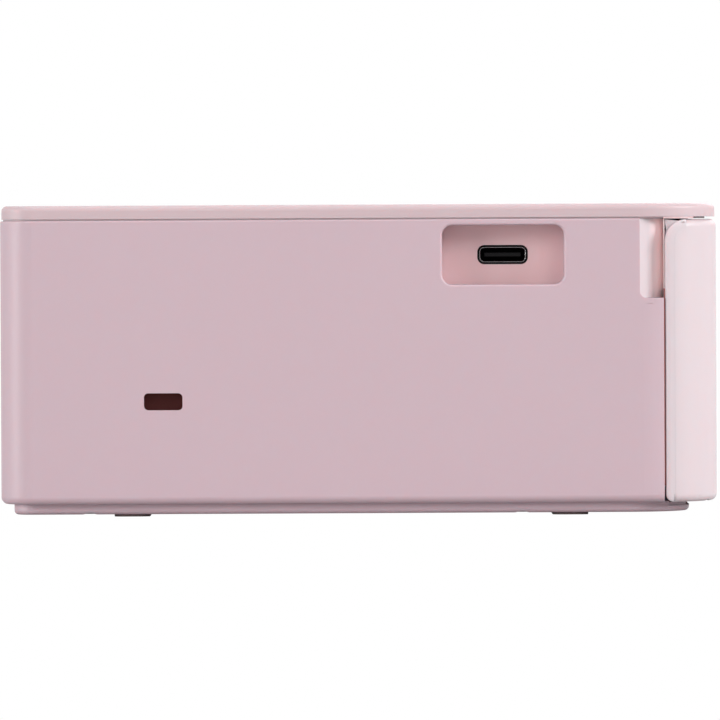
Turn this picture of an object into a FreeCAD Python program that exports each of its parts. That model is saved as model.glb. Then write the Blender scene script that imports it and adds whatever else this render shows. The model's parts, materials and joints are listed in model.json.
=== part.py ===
import FreeCAD, Part
import math
import os
import re

import Sketcher

# Compact dye-sublimation photo printer, in millimetres.
# X runs along the width, Y along the depth with the front at -Y, and Z up.
# The origin is at the middle of the footprint, on the surface that the printer stands on.

SIZES = {
    # The case from outside, and the gaps between its shells.
    "width": 182.2, "depth": 133.0, "foot_drop": 0.45, "base_tall": 1.95, "casing_tall": 52.4,
    "lid_groove": 0.3, "lid_tall": 2.5, "lid_inset": 0.25, "lid_edge_round": 1.0,
    "lid_seat_inset": 0.55, "lid_front_gap": 2.1, "rib_tall": 3.0, "rib_thick": 1.5,
    "front_corner": 14.0, "rear_corner": 6.0, "wall": 2.2, "casing_foot_round": 1.3,
    "casing_top_round": 0.25, "lip_thick": 1.8, "lip_wide": 5.0, "overrun": 1.0, "fit": 0.2,
    "running": 0.05, "edge_break": 0.3,
    # The front cover on the left side and the fixed column at its right end.
    "cover_deep": 9.9, "cover_wall": 1.8, "seam": 0.25, "cover_drop": 0.1, "cover_gap": 0.46,
    "cover_top_round": 4.0, "cover_rear_round": 1.5, "cover_foot_round": 1.3,
    "column_wide": 25.1, "hinge_back": 3.3, "hinge_tall": 5.2,
    "hinge_pin_radius": 0.75, "ear_radius": 1.3, "ear_wide": 3.0, "lug_wide": 2.0, "lug_tall": 6.0,
    "hinge_inset": 16.0,
    # The finger notch beside the cover.
    "notch_deep": 3.6, "notch_long": 4.45, "notch_tall": 14.7, "notch_round": 1.3,
    "notch_step": 0.45, "notch_backing": 2.0,
    # The socket recess and the lock slot on the left side.
    "recess_front_inset": 39.85, "recess_z": 48.2, "recess_long": 22.6, "recess_tall": 11.0,
    "recess_deep": 6.0, "recess_corner": 1.9, "recess_rim": 0.4, "recess_wall": 1.5,
    "port_long": 9.2, "port_tall": 3.4, "port_corner": 1.2, "port_shell": 0.3,
    "port_deep": 7.3, "port_clear": 0.08, "tongue_tall": 0.7, "tongue_long": 6.7,
    "slot_rear_inset": 30.2, "slot_z": 21.3, "slot_long": 7.15, "slot_tall": 3.15, "slot_corner": 0.8,
    # The cartridge door on the right side.
    "door_margin": 7.6, "door_rear_inset": 8.5, "door_low": 14.0, "door_high": 46.0,
    "door_corner": 2.5, "door_thick": 2.0, "door_gap": 0.3, "door_barrel": 1.5,
    "door_pin_radius": 0.8, "door_grip_long": 10.0, "door_grip_tall": 16.0,
    # The rear side.
    "paper_slot_tall": 5.2, "paper_slot_spare": 2.5, "jack_side_inset": 17.1, "jack_z": 16.0,
    "jack_radius": 3.2, "jack_ring": 0.5, "jack_body": 5.5, "jack_deep": 12.0,
    "jack_pin_radius": 0.8, "vent_wide": 1.8, "vent_tall": 12.0, "vent_pitch": 4.2, "vent_z": 43.0,
    "vent_side": 4.0,
    # The base, its feet and its screws.
    "base_inset": 2.4, "base_front_inset": 5.2, "base_edge_round": 0.8, "base_rebate": 0.8,
    "base_rebate_long": 4.0, "foot_radius": 3.25, "foot_sunk": 0.8, "foot_rear_inset": 24.3,
    "foot_front_inset": 27.5, "foot_side_inset": 17.1, "screw_radius": 1.1, "screw_head_radius": 1.9,
    "screw_head_tall": 1.0, "boss_radius": 2.3, "boss_tall": 6.0, "screw_side_inset": 29.1,
    "screw_front_inset": 36.5, "screw_rear_inset": 16.5,
    # The front frame around the paper bay.
    "frame_thick": 2.0, "bay_gap": 0.55, "bay_low": 5.6, "bay_high": 38.0, "bay_corner": 3.0,
    # The memory card slot in the column.
    "card_side_inset": 17.6, "card_z": 34.0, "card_tall": 24.6, "card_thick": 2.5, "card_deep": 28.0,
    "card_shell": 0.5,
    # The display and its keys in the lid.
    "screen_y": -2.0, "screen_wide": 86.0, "screen_deep": 62.0,
    "screen_corner": 3.0, "screen_thick": 1.0, "screen_ledge": 4.0, "panel_tall": 3.0,
    "key_sink": 0.15, "key_gap": 0.2, "key_flange": 0.8, "key_flange_tall": 0.8, "key_stem": 1.2,
    "key_travel": 0.5, "switch_side": 4.0, "switch_tall": 1.2, "key_board_thick": 1.2,
    "ring_side_inset": 31.1, "ring_y": 4.0, "ring_outer": 14.0, "ring_inner": 7.2, "ring_slit": 0.5,
    "small_key": 3.6, "power_key": 4.6, "print_key": 6.5, "key_side": 15.0, "key_row": 22.0,
    "power_row": 19.0, "print_row": 37.0, "key_board_side": 9.0, "key_board_end": 2.4,
    "post_radius": 2.0, "post_inset": 2.2,
    # The main board and its chips.
    "board_thick": 1.6, "board_gap": 2.15, "board_behind": 10.65, "board_card_gap": 0.75,
    "chip_side": 14.0, "chip_tall": 1.2,
    # The print engine.
    "drive_room": 39.1, "engine_gap": 2.0, "plate_thick": 1.2, "paper_level": 25.5,
    "paper_half": 0.1, "paper_side": 8.0, "plate_margin": 2.0, "plate_rear_inset": 7.1,
    "platen_radius": 8.0, "platen_core": 3.0, "grip_share": 0.3747, "grip_radius": 2.5,
    "pinch_radius": 2.4, "journal_radius": 1.6, "feed_angle": 20.92, "feed_radius": 6.0,
    "feed_hub": 2.4, "feed_tyre": 12.0, "spool_angle": 41.52, "supply_rear_inset": 21.5,
    "roll_supply": 6.6, "roll_takeup": 3.4, "spool_core": 2.4, "tub_radius": 8.5,
    "tub_wall": 1.0, "cartridge_side_inset": 7.1, "film_thick": 0.2,
    "arm_rear_inset": 9.3, "arm_pivot_z": 38.0, "arm_pin_radius": 1.5, "arm_thick": 1.0,
    "arm_cheek": 2.7, "head_lift": 2.8, "head_long": 12.0, "head_tall": 1.6, "fin_thick": 1.0,
    "fin_pitch": 3.0, "tie_inset": 9.4, "tie_z": 12.0, "tie_radius": 2.0,
    # The gears and the motor.
    "gear_module": 0.7, "gear_thick": 4.0, "gear_gap": 1.0, "gear_bore": 1.6, "gear_play": 0.08,
    "motor_radius": 12.0, "motor_long": 17.0, "motor_angle": 15.36, "bracket_thick": 1.2,
}

TEETH = {"takeup": 28, "grip": 22, "feed": 30, "pinion": 12}

# A tooth's depth below its pitch circle, and its width at root and tip, as shares.
ROOT_SHARE = 1.2
ROOT_TURN_SHARE = 1.6
TIP_TURN_SHARE = 0.45

# Places and sizes that follow from the sizes above.
PLACES = {
    "left": "-width / 2", "right": "width / 2", "front": "-depth / 2", "rear": "depth / 2",
    "casing_low": "foot_drop + base_tall", "casing_high": "casing_low + casing_tall",
    "lid_low": "casing_high + lid_groove", "lid_high": "lid_low + lid_tall",
    "floor": "casing_low + lip_thick", "seam_y": "front + cover_deep + seam",
    "column_left": "right - column_wide", "cover_right": "column_left - seam",
    "cover_low": "casing_low - cover_drop", "cover_high": "lid_low - cover_gap",
    "cover_rear": "front + cover_deep", "hinge_y": "front + hinge_back",
    "ear_left": "left + hinge_inset", "ear_right": "cover_right - cover_wall - lug_wide - fit * 2",
    "frame_back": "seam_y + fit + frame_thick",
    "notch_low": "casing_high - notch_tall", "notch_rear": "seam_y + notch_long",
    "recess_y": "front + recess_front_inset", "slot_y": "rear - slot_rear_inset",
    "port_face": "left + recess_deep", "port_half": "port_long / 2 - port_clear",
    "port_half_tall": "port_tall / 2 - port_clear",
    "jack_x": "left + jack_side_inset", "vent_reach": "paper_wide / 2 - vent_side",
    "foot_x": "right - foot_side_inset", "foot_front": "front + foot_front_inset",
    "foot_rear": "rear - foot_rear_inset", "screw_x": "right - screw_side_inset",
    "screw_front": "front + screw_front_inset", "screw_rear": "rear - screw_rear_inset",
    "card_x": "right - card_side_inset", "card_left": "card_x - card_thick / 2",
    "card_right": "card_x + card_thick / 2", "card_back": "front + wall + card_deep",
    "card_low": "card_z - card_tall / 2", "card_high": "card_z + card_tall / 2",
    "engine_left": "left + drive_room", "engine_right": "column_left - engine_gap",
    "plate_left": "engine_left - plate_thick", "plate_right": "engine_right + plate_thick",
    "bay_left": "engine_left + gear_gap", "bay_right": "ear_right - ear_wide - bay_gap",
    "paper_x": "(engine_left + engine_right) / 2",
    "paper_wide": "engine_right - engine_left - paper_side * 2",
    "plate_front": "feed_y - feed_radius - plate_margin", "plate_rear": "rear - plate_rear_inset",
    "gear_near": "plate_left - gear_gap", "gear_far": "gear_near - gear_thick",
    "board_top": "recess_z - port_tall / 2 + port_clear", "board_low": "board_top - board_thick",
    "board_left": "left + recess_deep + recess_wall + fit",
    "board_right": "card_left - card_shell - board_card_gap",
    "board_front": "frame_back + board_gap", "board_rear": "recess_y + board_behind",
    "grip_y": "frame_back + (supply_y - frame_back) * grip_share",
    "grip_z": "paper_level - paper_half - grip_radius",
    "pinch_z": "paper_level + paper_half + pinch_radius",
    "takeup_grip": "gear_module * (%(takeup)d + %(grip)d) / 2" % TEETH,
    "grip_feed": "gear_module * (%(grip)d + %(feed)d) / 2" % TEETH,
    "takeup_pinion": "gear_module * (%(takeup)d + %(pinion)d) / 2" % TEETH,
    "feed_y": "grip_y - grip_feed * cos(feed_angle)", "feed_z": "grip_z + grip_feed * sin(feed_angle)",
    "takeup_y": "grip_y + takeup_grip * cos(spool_angle)",
    "spool_z": "grip_z + takeup_grip * sin(spool_angle)",
    "motor_y": "takeup_y + takeup_pinion * cos(motor_angle)",
    "motor_z": "spool_z - takeup_pinion * sin(motor_angle)",
    "motor_face": "gear_far - gear_gap - bracket_thick", "motor_end": "motor_face - motor_long",
    "supply_y": "rear - supply_rear_inset", "platen_y": "(takeup_y + supply_y) / 2",
    "platen_z": "paper_level - paper_half - platen_radius",
    "door_front": "takeup_y - tub_radius - door_margin", "door_rear": "rear - door_rear_inset",
    "door_pin_x": "right - door_barrel", "door_pin_y": "door_rear - door_barrel",
    "knuckle_foot": "door_low - door_gap - lug_wide", "knuckle_head": "door_high + door_gap + lug_wide",
    "cartridge_left": "engine_left + gear_gap * 3", "cartridge_right": "right - cartridge_side_inset",
    "film_left": "cartridge_left + tub_wall * 4", "film_right": "engine_right - tub_wall * 4",
    "film_z": "spool_z - tub_radius + tub_wall / 2",
    "arm_pivot_y": "rear - arm_rear_inset", "arm_left": "engine_left + gear_gap * 2",
    "arm_right": "engine_right - gear_gap * 2", "arm_low": "spool_z + tub_radius + head_lift / 2 - fit",
    "head_left": "engine_left + gear_gap * 6", "head_right": "engine_right - gear_gap * 6",
    "head_low": "film_z + film_thick + edge_break + head_lift", "head_high": "head_low + head_tall",
    "head_front": "platen_y - head_long / 2", "head_rear": "platen_y + head_long / 2",
    "tie_y": "plate_rear - tie_inset",
    "screen_low": "lid_high - screen_thick - running * 2",
    "key_top": "lid_high - key_sink", "key_flange_high": "lid_low - fit / 2",
    "key_flange_low": "key_flange_high - key_flange_tall",
    "key_stem_low": "key_flange_low - key_travel * 2",
    "switch_high": "key_stem_low - key_travel - fit / 2",
    "key_board_high": "switch_high - switch_tall",
    "key_board_low": "key_board_high - key_board_thick",
    "ring_x": "right - ring_side_inset", "power_y": "ring_y + key_row + power_row",
    "print_y": "ring_y - print_row", "screen_x": "(left + ring_x - key_side - small_key) / 2",
    "key_board_left": "ring_x - key_side - key_board_side",
    "key_board_right": "ring_x + key_side + key_board_side",
    "key_board_front": "print_y - print_key - key_board_end",
    "key_board_rear": "power_y + power_key + key_board_end",
}

doc = FreeCAD.newDocument("photo_printer")
sheet = doc.addObject("Spreadsheet::Sheet", "Sizes")
for row, (size_name, size) in enumerate(SIZES.items(), 1):
    sheet.set(f"A{row}", size_name)
    sheet.set(f"B{row}", str(size))
    sheet.setAlias(f"B{row}", size_name)
doc.recompute()

NODES = {}


def bind(text):
    """Turn bare size and place names into an expression on the sheet."""
    def spell(match):
        word = match[0]
        if word in SIZES:
            return f"Sizes.{word}"
        return f"({bind(PLACES[word])})" if word in PLACES else word
    return re.sub(r"[a-z_]+", spell, text)


def value(text):
    return float(sheet.evalExpression(bind(text)))


def node(name, item):
    """Register an object as a sub-part that is written to its own file."""
    item.Label = name
    NODES[name] = item
    return item


def rectangle(x_low, x_high, y_low, y_high, radius=""):
    corners = [(x_low, y_low), (x_high, y_low), (x_high, y_high), (x_low, y_high)]
    return [(x, y, radius) for x, y in corners]


class Drawing:
    """Outlines gathered first and given to their sketch in one go."""

    def __init__(self, sketch):
        self.sketch = sketch
        self.shapes = []
        self.rules = []
        self.texts = []

    def add(self, shape, helper=False):
        self.shapes.append((shape, helper))
        return len(self.shapes) - 1

    def tie(self, *rule, text=""):
        """Add a constraint; text is the expression that drives its value."""
        if text:
            self.texts.append((len(self.rules), text))
            rule = rule + (value(text),)
        self.rules.append(Sketcher.Constraint(*rule))

    def pin(self, point, x, y):
        """Dimension a point from the sketch's origin."""
        self.tie("DistanceX", -1, 1, *point, text=x)
        self.tie("DistanceY", -1, 1, *point, text=y)

    def circle(self, x, y, radius):
        centre = FreeCAD.Vector(value(x), value(y), 0)
        number = self.add(Part.Circle(centre, FreeCAD.Vector(0, 0, 1), value(radius)))
        self.tie("Radius", number, text=radius)
        self.pin((number, 3), x, y)

    def loop(self, corners):
        """A closed outline of straight lines, rounded where a corner has a radius."""
        spots = [FreeCAD.Vector(value(x), value(y), 0) for x, y, radius in corners]
        joints = []
        for index, (x, y, radius) in enumerate(corners):
            spot = spots[index]
            if not radius:
                joints.append((spot, spot, spot))
                continue
            back = (spots[index - 1] - spot).normalize()
            ahead = (spots[(index + 1) % len(spots)] - spot).normalize()
            half_angle = back.getAngle(ahead) / 2
            reach = value(radius) / math.tan(half_angle)
            centre = spot + (back + ahead).normalize() * (value(radius) / math.sin(half_angle))
            middle = centre + (spot - centre).normalize() * value(radius)
            joints.append((spot + back * reach, middle, spot + ahead * reach))
        lines = [self.add(Part.LineSegment(joint[2], joints[(index + 1) % len(joints)][0]))
                 for index, joint in enumerate(joints)]
        for index, (x, y, radius) in enumerate(corners):
            before, after = lines[index - 1], lines[index]
            if not radius:
                self.tie("Coincident", before, 2, after, 1)
                self.pin((after, 1), x, y)
                continue
            start, middle, stop = joints[index]
            shape = Part.ArcOfCircle(start, middle, stop)
            arc = self.add(shape)
            first = 1 if (shape.StartPoint - start).Length < Part.Precision.confusion() else 2
            self.tie("Tangent", before, 2, arc, first)
            self.tie("Tangent", after, 1, arc, 3 - first)
            self.tie("Radius", arc, text=radius)
            corner = self.add(Part.Point(spots[index]), True)
            self.tie("PointOnObject", corner, 1, before)
            self.tie("PointOnObject", corner, 1, after)
            self.pin((corner, 1), x, y)

    def finish(self):
        for shape, helper in self.shapes:
            self.sketch.addGeometry(shape, helper)
        self.sketch.addConstraint(self.rules)
        for number, text in self.texts:
            self.sketch.setExpression(f"Constraints[{number}]", bind(text))


def draw(sketch, outlines):
    """An outline is a list of corners, or the centre and radius of a circle."""
    drawing = Drawing(sketch)
    for outline in outlines:
        if isinstance(outline, tuple):
            drawing.circle(*outline)
        else:
            drawing.loop(outline)
    drawing.finish()


def layer(body, name, plane, low, high, outlines, kind):
    """Add a pad or a pocket between two levels along the axis across its plane."""
    sketch = body.newObject("Sketcher::SketchObject", name + "_sketch")
    origin_plane = [item for item in body.Origin.OriginFeatures if item.Role == plane + "_Plane"][0]
    sketch.AttachmentSupport = [(origin_plane, "")]
    sketch.MapMode = "FlatFace"
    start = f"-({high})" if plane == "XZ" else low
    sketch.setExpression("AttachmentOffset.Base.z", bind(start))
    draw(sketch, outlines)
    feature = body.newObject("PartDesign::" + kind, name)
    feature.Profile = sketch
    feature.Reversed = kind == "Pocket"
    feature.setExpression("Length", bind(f"({high}) - ({low})"))
    doc.recompute()
    return feature


def pad(body, name, plane, low, high, *outlines):
    return layer(body, name, plane, low, high, outlines, "Pad")


def carve(body, name, plane, low, high, *outlines):
    before = body.Shape.Volume
    feature = layer(body, name, plane, low, high, outlines, "Pocket")
    if body.Shape.Volume >= before:
        raise RuntimeError(f"{name} cuts nothing")
    return feature


def edges_at(shape, x="", y="", z="", wanted=None):
    """Names of the edges that lie wholly in the given planes."""
    names = []
    near = Part.Precision.confusion() * 100
    for number, edge in enumerate(shape.Edges, 1):
        span = edge.BoundBox
        spans = {"x": (span.XMin, span.XMax), "y": (span.YMin, span.YMax), "z": (span.ZMin, span.ZMax)}
        levels = {"x": x, "y": y, "z": z}
        fits = all(abs(end - value(levels[axis])) < near
                   for axis in "xyz" if levels[axis] for end in spans[axis])
        if fits and (wanted is None or wanted(edge)):
            names.append(f"Edge{number}")
    return names


def round_edges(body, name, radius, names):
    rounded = body.Tip
    fillet = body.newObject("PartDesign::Fillet", name)
    fillet.Base = (rounded, names)
    fillet.setExpression("Radius", bind(radius))
    body.Tip = fillet
    doc.recompute()
    return fillet


def new_body(name):
    return node(name, doc.addObject("PartDesign::Body", name))


def box(name, x, y, z):
    """A block between two levels on each axis."""
    block = doc.addObject("Part::Box", name)
    for (low, high), side, axis in ((x, "Length", "x"), (y, "Width", "y"), (z, "Height", "z")):
        block.setExpression(side, bind(f"({high}) - ({low})"))
        block.setExpression(f"Placement.Base.{axis}", bind(low))
    return block


TURNS = {"x": FreeCAD.Rotation(FreeCAD.Vector(0, 1, 0), 90),
         "y": FreeCAD.Rotation(FreeCAD.Vector(1, 0, 0), -90), "z": FreeCAD.Rotation()}


def rod(name, axis, low, high, across, radius):
    """A cylinder along an axis; across gives its centre on the two other axes, in order."""
    cylinder = doc.addObject("Part::Cylinder", name)
    cylinder.Placement = FreeCAD.Placement(FreeCAD.Vector(), TURNS[axis])
    cylinder.setExpression("Radius", bind(radius))
    cylinder.setExpression("Height", bind(f"({high}) - ({low})"))
    rest = iter(across)
    for letter in "xyz":
        place = low if letter == axis else next(rest)
        cylinder.setExpression(f"Placement.Base.{letter}", bind(place))
    return cylinder


def join(name, *pieces):
    union = doc.addObject("Part::MultiFuse", name)
    union.Shapes = list(pieces)
    union.Refine = True
    return union


def group(name, *pieces):
    """Separate solids of one kind that share a node."""
    bundle = doc.addObject("Part::Compound", name)
    bundle.Links = list(pieces)
    return bundle


def cut(name, base, *tools):
    result = doc.addObject("Part::Cut", name)
    result.Base = base
    result.Tool = tools[0] if len(tools) == 1 else join(name + "_tools", *tools)
    result.Refine = True
    return result


def plan(inset, front_inset=""):
    """The rounded outline of the case seen from above, drawn in by an inset."""
    ahead = front_inset or inset
    rear_round = f"max(rear_corner - {inset}; edge_break)"
    return [(f"left + {inset}", f"front + {ahead}", f"front_corner - {inset}"),
            (f"right - {inset}", f"front + {ahead}", f"front_corner - {inset}"),
            (f"right - {inset}", f"rear - {inset}", rear_round),
            (f"left + {inset}", f"rear - {inset}", rear_round)]


def around(x, y, half_x, half_y, radius=""):
    """A rectangle about its centre."""
    return rectangle(f"{x} - ({half_x})", f"{x} + ({half_x})", f"{y} - ({half_y})", f"{y} + ({half_y})",
                     radius)


# Places of the screws that draw the base against the casing's lip.
SCREWS = [(x, y) for x in ("left + wall + lip_wide / 2", "right - wall - lip_wide / 2")
          for y in ("screw_front", "screw_rear")]
SCREWS += [(x, "rear - wall - lip_wide / 2") for x in ("(-screw_x)", "screw_x")]

# The moulded casing: a ring of walls with a column at its front right, open above and below.
casing = new_body("main_casing")
pad(casing, "casing_block", "XY", "casing_low", "casing_high", plan("0"))
round_edges(casing, "casing_foot", "casing_foot_round", edges_at(casing.Shape, z="casing_low"))
round_edges(casing, "casing_rim", "casing_top_round", edges_at(casing.Shape, z="casing_high"))
carve(casing, "cover_space", "XY", "casing_low - overrun", "casing_high + overrun",
      rectangle("left - overrun", "column_left", "front - overrun", "seam_y"))
carve(casing, "casing_hollow", "XY", "floor", "casing_high + overrun",
      [("left + wall", "seam_y - overrun", ""), ("column_left + wall", "seam_y - overrun", ""),
       ("column_left + wall", "front + wall", "edge_break"),
       ("right - wall", "front + wall", "front_corner - wall"),
       ("right - wall", "rear - wall", "rear_corner - wall"),
       ("left + wall", "rear - wall", "rear_corner - wall")])
carve(casing, "casing_underside", "XY", "casing_low - overrun", "floor + edge_break",
      rectangle("left + wall + lip_wide", "right - wall - lip_wide", "seam_y + lip_wide",
                "rear - wall - lip_wide", "edge_break"))
pad(casing, "screw_bosses", "XY", "floor - edge_break", "floor + boss_tall",
    *[(x, y, "boss_radius") for x, y in SCREWS])
carve(casing, "screw_bores", "XY", "casing_low", "floor + boss_tall - overrun / 2",
      *[(x, y, "screw_radius + running") for x, y in SCREWS])
pad(casing, "notch_block", "XY", "notch_low - notch_backing", "casing_high",
    rectangle("left + wall - edge_break", "left + notch_deep + notch_backing", "seam_y",
              "notch_rear + notch_backing"))
pad(casing, "recess_block", "YZ", "left + wall - edge_break", "left + recess_deep + recess_wall",
    rectangle("recess_y - recess_long / 2 - recess_wall", "recess_y + recess_long / 2 + recess_wall",
              "recess_z - recess_tall / 2 - recess_wall", "casing_high"))
carve(casing, "finger_notch", "XY", "notch_low", "casing_high + overrun",
      [("left - overrun", "seam_y - overrun", ""), ("left + notch_deep", "seam_y - overrun", ""),
       ("left + notch_deep", "seam_y", ""), ("left + notch_step", "notch_rear", ""),
       ("left - overrun", "notch_rear", "")])
pad(casing, "notch_corner", "YZ", "left", "left + notch_deep",
    [("notch_rear - notch_round * 2", "notch_low", ""), ("notch_rear", "notch_low", "notch_round"),
     ("notch_rear", "notch_low + notch_round * 2", ""),
     ("notch_rear + notch_backing / 2", "notch_low + notch_round * 2", ""),
     ("notch_rear + notch_backing / 2", "notch_low - notch_backing / 2", ""),
     ("notch_rear - notch_round * 2", "notch_low - notch_backing / 2", "")])
carve(casing, "socket_recess", "YZ", "left - overrun", "left + recess_deep",
      around("recess_y", "recess_z", "recess_long / 2", "recess_tall / 2", "recess_corner"))
round_edges(casing, "recess_lip", "recess_rim", edges_at(
    casing.Shape, x="left", wanted=lambda edge: value("recess_y - recess_long") < edge.BoundBox.YMin
    and edge.BoundBox.YMax < value("recess_y + recess_long")
    and edge.BoundBox.ZMin > value("recess_z - recess_tall")
    and edge.BoundBox.ZMax < value("casing_high - casing_top_round - running")))
carve(casing, "port_opening", "YZ", "left", "left + recess_deep + recess_wall + overrun",
      around("recess_y", "recess_z", "port_long / 2", "port_tall / 2", "port_corner"))
carve(casing, "lock_slot", "YZ", "left - overrun", "left + wall + overrun",
      around("slot_y", "slot_z", "slot_long / 2", "slot_tall / 2", "slot_corner"))
carve(casing, "cartridge_doorway", "YZ", "right - wall - overrun", "right + overrun",
      [("door_front - door_gap", "door_low - door_gap", "door_corner + door_gap"),
       ("door_rear + door_gap", "door_low - door_gap", ""),
       ("door_rear + door_gap", "door_high + door_gap", ""),
       ("door_front - door_gap", "door_high + door_gap", "door_corner + door_gap")])
carve(casing, "paper_exit", "XZ", "rear - wall - overrun", "rear + overrun",
      around("paper_x", "paper_level", "paper_wide / 2 + paper_slot_spare", "paper_slot_tall / 2",
             "edge_break"))
carve(casing, "jack_hole", "XZ", "rear - wall - overrun", "rear + overrun",
      ("jack_x", "jack_z", "jack_radius + fit"))
vent = carve(casing, "vent", "XZ", "rear - wall - overrun", "rear + overrun",
             around("paper_x - vent_reach", "vent_z", "vent_wide / 2", "vent_tall / 2",
                    "vent_wide / 2 - edge_break"))
vents = casing.newObject("PartDesign::LinearPattern", "vents")
vents.Originals = [vent]
vents.Direction = ([item for item in casing.Origin.OriginFeatures if item.Role == "X_Axis"][0], [""])
vents.setExpression("Length", bind("vent_reach * 2"))
vents.Occurrences = int(2 * value("vent_reach") / value("vent_pitch"))
casing.Tip = vents
doc.recompute()
carve(casing, "card_slot", "XZ", "front - overrun", "front + wall + overrun",
      around("card_x", "card_z", "card_thick / 2", "card_tall / 2", "edge_break"))
for name, low, high in (("knuckle_low", "knuckle_foot", "door_low - door_gap"),
                        ("knuckle_high", "door_high + door_gap", "knuckle_head")):
    pad(casing, name, "XY", low, high,
        rectangle("right - wall * 2", "right - wall + edge_break", "door_rear - wall * 2",
                  "door_rear + door_gap * 3"))
carve(casing, "door_pin_holes", "XY", "knuckle_foot + edge_break", "knuckle_head - edge_break",
      ("door_pin_x", "door_pin_y", "door_pin_radius + running"))
carve(casing, "door_grip", "YZ", "right - wall / 2", "right + overrun",
      around("door_front - door_grip_long / 2", "(door_low + door_high) / 2", "door_grip_long / 2",
             "door_grip_tall / 2", "door_corner"))

# The base plate stands proud below the casing's lip and fills its mouth.
base = new_body("base_cover")
pad(base, "base_slab", "XY", "foot_drop", "casing_low", plan("base_inset", "base_front_inset"))
round_edges(base, "base_edge", "base_edge_round", edges_at(base.Shape, z="foot_drop"))
pad(base, "base_floor", "XY", "casing_low - edge_break", "floor",
    rectangle("left + wall + lip_wide + fit", "right - wall - lip_wide - fit",
              "seam_y + lip_wide + fit", "rear - wall - lip_wide - fit"))
carve(base, "cover_relief", "XY", "casing_low - base_rebate", "casing_low + overrun",
      rectangle("left", "right", "front", "front + base_front_inset + base_rebate_long"))
FEET = [(x, y) for x in ("(-foot_x)", "foot_x") for y in ("foot_front", "foot_rear")]
carve(base, "foot_seats", "XY", "foot_drop - overrun", "foot_drop + foot_sunk",
      *[(x, y, "foot_radius + fit / 2") for x, y in FEET])
carve(base, "screw_seats", "XY", "foot_drop - overrun", "foot_drop + screw_head_tall",
      *[(x, y, "screw_head_radius + fit") for x, y in SCREWS])
carve(base, "screw_holes", "XY", "foot_drop", "floor + overrun",
      *[(x, y, "screw_radius + running") for x, y in SCREWS])

node("feet", group("foot_set", *[
    rod(f"foot_{number}", "z", "0", "foot_drop + foot_sunk", place, "foot_radius")
    for number, place in enumerate(FEET)]))

screw_shapes = []
for number, place in enumerate(SCREWS):
    head = rod(f"screw_head_{number}", "z", "foot_drop + edge_break", "foot_drop + screw_head_tall",
               place, "screw_head_radius")
    shank = rod(f"screw_shank_{number}", "z", "foot_drop + screw_head_tall", "floor + boss_tall - overrun",
                place, "screw_radius")
    screw_shapes.append(join(f"screw_{number}", head, shank))
node("base_screws", group("screw_set", *screw_shapes))

# The lid: a plate on a raised seat, with guide ribs that reach down inside the casing.
lid = new_body("top_cover")
pad(lid, "lid_plate", "XY", "lid_low", "lid_high", plan("lid_inset"))
round_edges(lid, "lid_rim", "lid_edge_round", edges_at(lid.Shape, z="lid_high"))
pad(lid, "lid_seat", "XY", "casing_high", "lid_low + edge_break", plan("lid_seat_inset", "lid_front_gap"))
carve(lid, "lid_underside", "XY", "casing_high - overrun", "lid_low",
      plan("wall + fit", "frame_back - front + fit"))
pad(lid, "lid_ribs", "XY", "casing_high - rib_tall", "lid_low + edge_break",
    rectangle("left + wall + fit", "left + wall + fit + rib_thick", "0", "rear - rear_corner * 2"),
    rectangle("right - wall - fit - rib_thick", "right - wall - fit", "seam_y + rear_corner",
              "rear - rear_corner * 2"),
    rectangle("left + rear_corner * 2", "right - rear_corner * 2", "rear - wall - fit - rib_thick",
              "rear - wall - fit"))
carve(lid, "screen_seat", "XY", "screen_low", "lid_high + overrun",
      around("screen_x", "screen_y", "screen_wide / 2 + fit / 2", "screen_deep / 2 + fit / 2",
             "screen_corner"))
carve(lid, "screen_window", "XY", "lid_low - overrun", "lid_high + overrun",
      around("screen_x", "screen_y", "screen_wide / 2 - screen_ledge", "screen_deep / 2 - screen_ledge",
             "screen_corner / 2"))

# Each round key: its name, its place and its radius.
ROUND_KEYS = [("power_key", "ring_x + key_side", "power_y", "power_key"),
              ("menu_key", "ring_x - key_side", "ring_y + key_row", "small_key"),
              ("edit_key", "ring_x", "ring_y + key_row", "small_key"),
              ("back_key", "ring_x + key_side", "ring_y + key_row", "small_key"),
              ("zoom_out_key", "ring_x - key_side", "ring_y - key_row", "small_key"),
              ("zoom_in_key", "ring_x + key_side", "ring_y - key_row", "small_key"),
              ("print_key", "ring_x", "print_y", "print_key")]
carve(lid, "key_openings", "XY", "lid_low - overrun", "lid_high + overrun",
      ("ring_x", "ring_y", "ring_outer + key_gap"),
      *[(x, y, f"{radius} + key_gap") for name, x, y, radius in ROUND_KEYS])
BOARD_POSTS = [(x, y) for x in ("key_board_left + post_inset", "key_board_right - post_inset")
               for y in ("key_board_front + post_inset", "key_board_rear - post_inset")]
pad(lid, "key_board_posts", "XY", "key_board_high", "lid_low + edge_break",
    *[(x, y, "post_radius") for x, y in BOARD_POSTS])

# The front frame closes the casing behind the cover, around the bay, and carries the hinge ears.
frame = new_body("front_frame")
pad(frame, "frame_wall", "XZ", "seam_y + fit", "frame_back",
    rectangle("left + wall + notch_deep", "column_left - fit", "floor", "casing_high - running * 2"))
EAR = [("hinge_y - ear_radius", "hinge_tall - ear_radius", "ear_radius - running"),
       ("seam_y + fit + edge_break", "floor + edge_break", ""),
       ("seam_y + fit + edge_break", "hinge_tall + ear_radius", ""),
       ("hinge_y - ear_radius", "hinge_tall + ear_radius", "ear_radius - running")]
pad(frame, "hinge_ear_left", "YZ", "ear_left", "ear_left + ear_wide", EAR)
pad(frame, "hinge_ear_right", "YZ", "ear_right - ear_wide", "ear_right", EAR)
carve(frame, "ear_holes", "YZ", "ear_left - overrun", "ear_right + overrun",
      ("hinge_y", "hinge_tall", "hinge_pin_radius + running"))
carve(frame, "bay_mouth", "XZ", "seam_y - overrun", "frame_back + overrun",
      rectangle("bay_left", "bay_right", "bay_low", "bay_high", "bay_corner"))

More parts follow.
